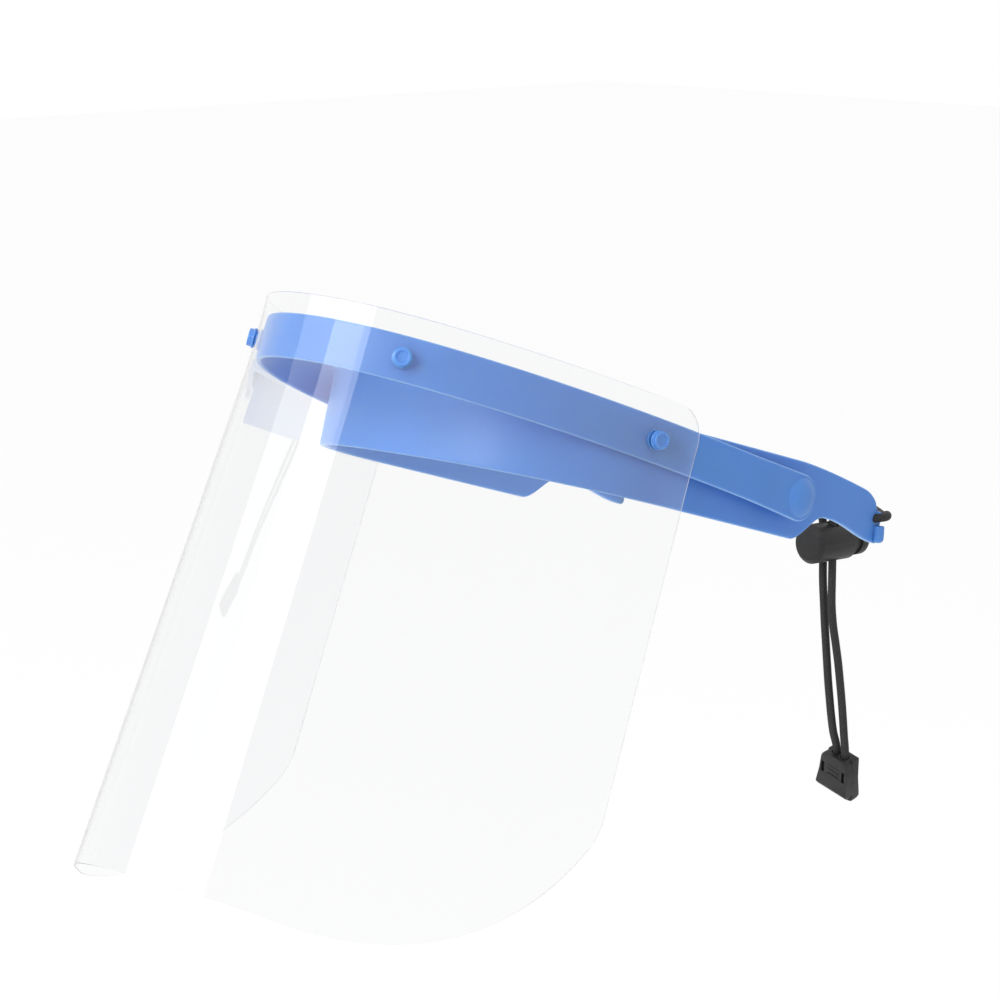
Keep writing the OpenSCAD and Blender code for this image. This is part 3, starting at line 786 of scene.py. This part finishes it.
class SHIELD_OT_bow(bpy.types.Operator):
    """Make the hinged bow, a rounded strip with a dome over each hinge"""
    bl_idname = "shield.make_bow"
    bl_label = "Bow"

    def execute(self, context):
        b = context.scene.shield_bow
        plan = bow_plan()
        hinge_s = plan.distance_of(HINGE_Y)
        half = b.height / 2
        end_r = half + BOW_END
        before = hinge_s - BOW_CLOSER + np.linspace(0, BOW_CLOSER, BOW_END_COUNT)
        beyond = hinge_s + end_r * np.sin(np.linspace(0, math.pi / 2, BOW_END_COUNT))
        s = stations(np.linspace(-1, 1, BOW_COUNT) * hinge_s, before, beyond)
        past = np.abs(s) - hinge_s
        reach = np.clip(past, 0, end_r)
        widened = half + (end_r - half) * np.clip(past / BOW_WIDEN + 1, 0, 1)
        height = np.where(reach > 0, np.sqrt(np.maximum(end_r ** 2 - reach ** 2, 0)), widened)

        def bulge(ss, zz, ww):
            """Outer dome and inner pad round each hinge, with a soft foot."""
            d = np.hypot(np.abs(ss) - hinge_s, zz)
            dome = b.rise * np.maximum(1 - (d / b.dome) ** 2.4, 0) ** 0.8
            pad = (HINGE_HALF - PAD_FACE - b.wall) * smooth((b.dome - d) / PAD_FOOT)
            outer, inner = ww > -0.2 * b.wall, ww < -0.8 * b.wall
            return ww + dome * outer - pad * inner

        loop = section(b.wall, b.edge, face_rows=34)
        points = strip_grid(plan, s, height, -height, loop, bulge)
        faces = grid_faces(len(s), len(loop), wrap_columns=True)
        add_piece("bow", at_rest(points), faces, "visor", blue_plastic(),
                  ["visor_frame"], edge=painted_glow_share(loop, b.wall, len(s)))
        return {"FINISHED"}


# The band's outline in its own level frame, in mm. y runs back from the head's middle
WAIST_FROM, WAIST_TO, WAIST_RISE = 25, 41.5, 9.9  # the lower edge rises behind the hinge
HEEL_FROM, HEEL_TO, HEEL_FALL = 45, 71.5, 4.1  # and falls again to the rear end
TOP_FROM, TOP_TO, TOP_FALL = 24, 72.6, 5.2  # the upper edge falls towards the rear
CORNER_FROM, CORNER_RUN, CORNER_R = 61.4, 10.4, 8  # its rounded rear corner
END_Y, END_TOP, END_SLOPE = 71.6, 1, 1.5  # its steep last piece
BAND_CLOSER = 8 * MM  # length before the end with closer stations
BAND_COUNT, BAND_END_COUNT = 421, 26
# Turned parts of the band, (radius, height) in mm
BEAD = [[0, -8.72], [0.9, -8.7], [1.8, -8.1], [2, -6.9], [2, -2.8], [0, -2.75]]
BEAD_LEAN = math.radians(11.6)
BEAD_OUT, BEAD_FORWARD = 2 * MM, 1.55 * MM
REAR_EDGE = [[0, -8.7], [0.9, -8.6], [1.1, -7.6], [1.1, 1.3], [0.9, 2.2], [0, 2.4]]
BOSS = [[0, 65.5], [6.7, 65.5], [6.7, 70.7], [0, 70.7]]


def band_low(y, drop):
    """Lower edge of the band at y, all in mm."""
    waist = WAIST_RISE * smooth((y - WAIST_FROM) / (WAIST_TO - WAIST_FROM))
    heel = HEEL_FALL * smooth((y - HEEL_FROM) / (HEEL_TO - HEEL_FROM))
    return waist - heel - drop


def band_high(y, top):
    """Upper edge of the band at y, all in mm."""
    turned = np.clip((y - CORNER_FROM) / CORNER_RUN, 0, 0.99)
    corner = CORNER_R * (1 - np.sqrt(1 - turned ** 2))
    high = top - corner - TOP_FALL * np.maximum((y - TOP_FROM) / (TOP_TO - TOP_FROM), 0) ** 1.5
    return np.minimum(high, END_TOP - END_SLOPE * (y - END_Y))


class SHIELD_OT_band(bpy.types.Operator):
    """Make the brow band, its rear beads and its bosses"""
    bl_idname = "shield.make_band"
    bl_label = "Brow band"

    def execute(self, context):
        b = context.scene.shield_band
        plan = band_plan()
        end_s = plan.s[0]
        rear = end_s - BAND_CLOSER * (1 - np.sin(np.linspace(0, math.pi / 2, BAND_END_COUNT)))
        s = stations(np.linspace(-end_s, end_s, BAND_COUNT), rear)
        y = plan.at(s)[:, 1] / MM
        high, low = band_high(y, b.top / MM) * MM, band_low(y, b.drop / MM) * MM
        loop = section(b.wall, b.edge, face_rows=16)
        points = strip_grid(plan, s, high, low, loop)
        faces = grid_faces(len(s), len(loop), wrap_columns=True).tolist()
        parts = [(points, faces + end_faces(len(s), len(loop)))]
        share = painted_glow_share(loop, b.wall, len(s))
        middle = edge_x()
        bead, bead_faces = revolved(BEAD, radius=0.5, sides=40)
        bead = about_x(bead, BEAD_LEAN) + [middle + BEAD_OUT, b.end - BEAD_FORWARD, 0]
        edge, edge_faces = revolved(REAR_EDGE, radius=0.6, sides=32)
        edge = edge + [middle, b.end, 0]
        boss, boss_faces = revolved(BOSS, radius=0.5, sides=48)
        boss = np.stack([boss[:, 2], boss[:, 1] + HINGE_Y, -boss[:, 0] - HINGE_DROP], axis=-1)
        for side in (1, -1):
            for p, f in ((bead, bead_faces), (edge, edge_faces), (boss, boss_faces)):
                parts.append((p * [side, 1, 1], f))
        points, faces = join_grids(parts)
        share = np.concatenate([share, np.zeros(len(points) - len(share))])
        add_piece("brow_band_finished", worn(points), faces, "headgear", blue_plastic(),
                  ["brow_band"], edge=share)
        return {"FINISHED"}


# The flat sheet in mm, its heights measured from the line of the studs
SHEET_UP, SHEET_DOWN = 14.1, 185.9
TOP_CORNER_R = 11.5
LOW_CURVE_R, LOW_FLAT = 108.5, 55  # bottom curves, and half of the flat between them
LOW_CORNER = 3  # last soft turn into the side edges
ARCH_RISE, ARCH_HALF = 3.2, 52  # the bottom edge rises a little in the middle
# It leans outwards, in degrees at the sides and further at the nose, from this depth down
LEAN_SIDE, LEAN_NOSE = 1.2, 2.7
LEAN_FROM, LEAN_SOFT = 7.6 * MM, 6 * MM
SHEET_COUNT = 241
SHEET_EDGE = 0.12 * MM  # rounding of the cut edge
SHEET_FLAT = 0.0006  # share of the height from the edge to the first row of the face


class SHIELD_OT_sheet(bpy.types.Operator):
    """Make the clear sheet, bent round the bow and leaning out below it"""
    bl_idname = "shield.make_sheet"
    bl_label = "Clear sheet"

    def execute(self, context):
        b = context.scene.shield_sheet
        plan = bow_plan()
        half = b.width / 2 / MM
        s = half * np.sin(np.linspace(-math.pi / 2, math.pi / 2, SHEET_COUNT))
        corner = np.maximum(np.abs(s) - half + TOP_CORNER_R, 0)
        up = SHEET_UP - TOP_CORNER_R + np.sqrt(np.maximum(TOP_CORNER_R ** 2 - corner ** 2, 0))
        curve = np.maximum(np.abs(s) - LOW_FLAT, 0)
        last = np.maximum(np.abs(s) - half + LOW_CORNER, 0)
        down = SHEET_DOWN - LOW_CURVE_R + np.sqrt(LOW_CURVE_R ** 2 - curve ** 2)
        down -= last ** 2 / LOW_CORNER + ARCH_RISE * np.maximum(0, 1 - (s / ARCH_HALF) ** 2)
        loop = section(b.thickness, SHEET_EDGE, face_rows=60, arc=3, close=SHEET_FLAT)
        slope = np.tan(np.radians(LEAN_SIDE + LEAN_NOSE * (1 - (s / half) ** 2)))

        def place(ss, zz, ww):
            """Outwards by the gap plus the lean, which starts softly below the bow."""
            below = -zz - LEAN_FROM
            lean = (below + np.hypot(below, LEAN_SOFT)) / 2 * np.interp(ss, s * MM, slope)
            return ww + b.gap + b.thickness + lean

        points = strip_grid(plan, s * MM, up * MM, -down * MM, loop, place)
        faces = grid_faces(len(s), len(loop), wrap_columns=True).tolist()
        faces += end_faces(len(s), len(loop))
        depth = loop[:, 2] / b.thickness
        cut = (depth < -0.1) & (depth > -0.9)
        on_rim = np.tile(cut | np.roll(cut, -1), len(s) - 1).tolist() + [True, True]
        add_piece("clear_sheet", at_rest(points), faces, "visor", clear_sheet(),
                  ["visor_sheet"], rim=(sheet_edge(), on_rim))
        return {"FINISHED"}


# A stud as (radius, height) in mm: tail, collar against the bow, neck and dished cap
STUD = [[0, -1.8], [1.6, -1.8], [1.6, 0.02], [3.6, 0.02], [3.6, 1.1], [2.2, 1.15], [2.2, 2.1],
        [3.4, 2.15], [3.4, 2.9], [3.0, 2.95], [3.0, 4.5], [1.9, 4.5], [1.9, 4.0], [0, 4.0]]
STUD_PLACES = {"front_left": 39, "front_right": -39, "side_left": 133, "side_right": -133}


class SHIELD_OT_studs(bpy.types.Operator):
    """Make the four snap studs that hold the sheet"""
    bl_idname = "shield.make_studs"
    bl_label = "Snap studs"

    def execute(self, context):
        plan = bow_plan()
        p, faces = revolved(STUD, radius=0.35, sides=48)
        for place, s in STUD_PLACES.items():
            station = np.array([s * MM])
            at, out = plan.at(station)[0], plan.outward(station)[0]
            side = np.array([-out[1], out[0]])
            level = at + out * p[:, 2:] + side * p[:, 1:2]
            points = np.column_stack([level, -p[:, 0]])
            add_piece(f"stud_{place}_finished", at_rest(points), faces, "visor", polished_blue(),
                      ["stud_" + place])
        return {"FINISHED"}


class SHIELD_OT_hinges(bpy.types.Operator):
    """Round the edges of the two hinge pins"""
    bl_idname = "shield.make_hinges"
    bl_label = "Hinge pins"

    def execute(self, context):
        for side in ("left", "right"):
            smoothed_copy("pivot_pin_" + side, 0.2 * MM, blue_plastic(), "headgear")
        return {"FINISHED"}


SPRING_TURNS, TURN_POINTS = 5, 36
SPRING_RADIUS, SPRING_WIRE = 2.05 * MM, 0.35 * MM  # to the wire's middle, and half the wire
SPRING_START = 103.25 * MM  # at the lock's closed end
SPRING_LENGTH = 7 * MM
SPRING_Z = -40 * MM
FITTINGS = (
    # node, rounding of its edges, body
    ("cord_lock_body", 0.35 * MM, "headgear"),
    ("cord_lock_plunger", 0.35 * MM, "lock_plunger"),
    ("clip_front_shell", 0.25 * MM, "headgear"),
    ("clip_back_shell", 0.25 * MM, "headgear"),
)


class SHIELD_OT_fittings(bpy.types.Operator):
    """Make the cord lock, its spring and the end clip"""
    bl_idname = "shield.make_fittings"
    bl_label = "Lock and clip"

    def execute(self, context):
        for node, rounding, body in FITTINGS:
            smoothed_copy(node, rounding, black_plastic(), body)
        t = np.linspace(0, SPRING_TURNS, SPRING_TURNS * TURN_POINTS + 1)
        along = SPRING_START + SPRING_WIRE + (SPRING_LENGTH - 2 * SPRING_WIRE) * t / SPRING_TURNS
        turn = 2 * math.pi * t
        line = np.stack([SPRING_RADIUS * np.cos(turn), along,
                         SPRING_Z - SPRING_RADIUS * np.sin(turn)], axis=-1)
        points, faces, uv, _ = tube(line, SPRING_WIRE, sides=12)
        spring = add_piece("cord_lock_spring_finished", points, faces, "headgear", steel(),
                           ["cord_lock_spring"], uv=uv)
        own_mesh(spring)
        return {"FINISHED"}


class SHIELD_OT_cords(bpy.types.Operator):
    """Make the two elastic cords and their knots"""
    bl_idname = "shield.make_cords"
    bl_label = "Cords"

    def execute(self, context):
        c = context.scene.shield_cord
        sides = ((1, "left"), (-1, "right"))
        knots = {1: [], -1: []}
        for side, word in sides:
            lo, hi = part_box(f"tail_knot_{word}")
            middle = (np.array(lo) + np.array(hi)) / 2
            balls = {f"cord_knot_{word}": (cord_route(side)[0], KNOT_R, (side, 0, 0.2)),
                     f"tail_knot_{word}": (middle, TAIL_KNOT_R, TAIL_KNOT_AXIS)}
            for node, ball in balls.items():
                points, faces = knot_ball(*ball)
                knots[side].append(add_piece(node + "_finished", points, faces, "headgear",
                                             braided_cord(), [node]))
        held = [node for node, _, _ in FITTINGS] + ["cord_lock_spring"]
        held = [bpy.data.objects[node + "_finished"] for node in held]
        for side, word in sides:
            line = smooth_line(cord_route(side), 0.5 * MM)
            points, faces, uv, length = tube(line, c.diameter / 2, sides=20)
            piece = add_piece(f"elastic_cord_{word}", points, faces, "headgear", braided_cord(),
                              [f"cord_{word}"], uv=uv)
        return {"FINISHED"}


# ---- Stage -------------------------------------------------------------------

DAYLIGHT = 0.62  # strength of the world on matt surfaces
FLOOR_Z, FLOOR_HALF, FLOOR_LINES = -0.42, 6.0, 25
FLOOR_GLOW = 0.79  # with the lamps' light on it, about white
FLOOR_SEEN, FLOOR_MATT = 0.25, 0.9  # how pale it is to background rays and to all others
LAMPS = (
    # name, place, width and height in m, power in W, whether glossy pieces mirror it
    ("softbox", (0.17, -1.97, 0.96), 1.1, 1.3, 16, True),
    ("wide softbox", (-0.58, -2.3, 1.06), 2.6, 1.5, 22, True),
    ("top", (0.2, -0.2, 2.2), 1.5, 1.5, 6, False),
)
CAMERA_PLACE = (1.1661, -1.1711, 0.2406)
CAMERA_ROUND, CAMERA_UP = math.radians(46.21), math.radians(8.72)
LENS, SENSOR = 172.9, 36  # mm


def studio_world(white):
    """The backdrop's colour to background rays, and soft daylight to matt surfaces."""
    world = bpy.data.worlds.new("Studio")
    world.use_nodes = True
    world.node_tree.nodes.clear()
    tree = Tree(world.node_tree)
    strength = tree.mapped(tree.background_rays(), DAYLIGHT, 1.0)
    back = tree.add("ShaderNodeBackground", {"Color": white, "Strength": strength})
    tree.add("ShaderNodeOutputWorld", {"Surface": back.outputs[0]})
    return world


def floor_material(white):
    """Matt floor that looks like the backdrop and keeps the shadow."""
    material, tree, shader = new_material("Floor")
    seen = tree.background_rays()
    matt, shown = ([share * x for x in white] for share in (FLOOR_MATT, FLOOR_SEEN))
    tree.feed(shader, {
        "Base Color": tree.mixed(seen, matt, shown), "Roughness": 0.9, "Specular IOR Level": 0.1,
        "Emission Color": white, "Emission Strength": tree.mapped(seen, 0.0, FLOOR_GLOW),
    })
    return material


def place_in_scene(item, place, direction):
    """Links a lamp or a camera and points it along a direction."""
    bpy.context.scene.collection.objects.link(item)
    item.location = place
    item.rotation_mode = "QUATERNION"
    item.rotation_quaternion = direction.to_track_quat("-Z", "Y")


class SHIELD_OT_stage(bpy.types.Operator):
    """Make the floor, the backdrop, the lamps and the camera"""
    bl_idname = "shield.make_stage"
    bl_label = "Stage"

    def execute(self, context):
        scene = context.scene
        scene.view_settings.view_transform = "Standard"
        white = scene.shield_colours.backdrop
        scene.world = studio_world(white)

        u = np.linspace(-FLOOR_HALF, FLOOR_HALF, FLOOR_LINES)
        x, y = np.meshgrid(u, u, indexing="ij")
        points = np.stack([x, y, np.full_like(x, FLOOR_Z)], axis=-1).reshape(-1, 3)
        mesh = bpy.data.meshes.new("floor")
        faces = grid_faces(FLOOR_LINES, FLOOR_LINES)[:, ::-1]
        mesh.from_pydata(points.tolist(), [], faces.tolist())
        mesh.materials.append(floor_material(white))
        floor = bpy.data.objects.new("floor", mesh)
        scene.collection.objects.link(floor)

        for name, place, wide, high, power, mirrored in LAMPS:
            data = bpy.data.lights.new(name, "AREA")
            data.shape = "RECTANGLE"
            data.size, data.size_y, data.energy = wide, high, power
            lamp = bpy.data.objects.new(name, data)
            lamp.visible_glossy = mirrored
            lamp.visible_transmission = False
            place_in_scene(lamp, place, -Vector(place))

        data = bpy.data.cameras.new("camera")
        data.lens, data.sensor_width = LENS, SENSOR
        data.clip_start, data.clip_end = 0.05, 60
        camera = bpy.data.objects.new("camera", data)
        level = math.cos(CAMERA_UP)
        x, y = -math.sin(CAMERA_ROUND) * level, math.cos(CAMERA_ROUND) * level
        place_in_scene(camera, CAMERA_PLACE, Vector((x, y, -math.sin(CAMERA_UP))))
        scene.camera = camera
        return {"FINISHED"}


# ---- Panel and script --------------------------------------------------------

OPERATORS = (
    SHIELD_OT_stage, SHIELD_OT_band, SHIELD_OT_bow, SHIELD_OT_sheet, SHIELD_OT_studs,
    SHIELD_OT_hinges, SHIELD_OT_fittings, SHIELD_OT_cords,
)
SETTINGS = (
    ("shield_band", ShieldBandSizes), ("shield_bow", ShieldBowSizes),
    ("shield_sheet", ShieldSheetSizes), ("shield_cord", ShieldCordSizes),
    ("shield_colours", ShieldColours),
)


class SHIELD_PT_panel(bpy.types.Panel):
    """Lists the pieces, sizes and colours of the face shield"""
    bl_idname = "SHIELD_PT_panel"
    bl_label = "Face Shield"
    bl_space_type = "VIEW_3D"
    bl_region_type = "UI"
    bl_category = "Face Shield"

    def draw(self, context):
        for operator in OPERATORS:
            self.layout.operator(operator.bl_idname)
        for name, group in SETTINGS:
            box = self.layout.box()
            for key in group.__annotations__:
                box.prop(getattr(context.scene, name), key)


def register():
    for _, group in SETTINGS:
        bpy.utils.register_class(group)
    for operator in OPERATORS:
        bpy.utils.register_class(operator)
    bpy.utils.register_class(SHIELD_PT_panel)
    for name, group in SETTINGS:
        setattr(bpy.types.Scene, name, bpy.props.PointerProperty(type=group))


def unregister():
    for name, _ in SETTINGS:
        delattr(bpy.types.Scene, name)
    bpy.utils.unregister_class(SHIELD_PT_panel)
    for operator in reversed(OPERATORS):
        bpy.utils.unregister_class(operator)
    for _, group in reversed(SETTINGS):
        bpy.utils.unregister_class(group)


def main():
    register()
    for operator in OPERATORS:
        family, name = operator.bl_idname.split(".")
        getattr(getattr(bpy.ops, family), name)()


if __name__ == "__main__":
    main()
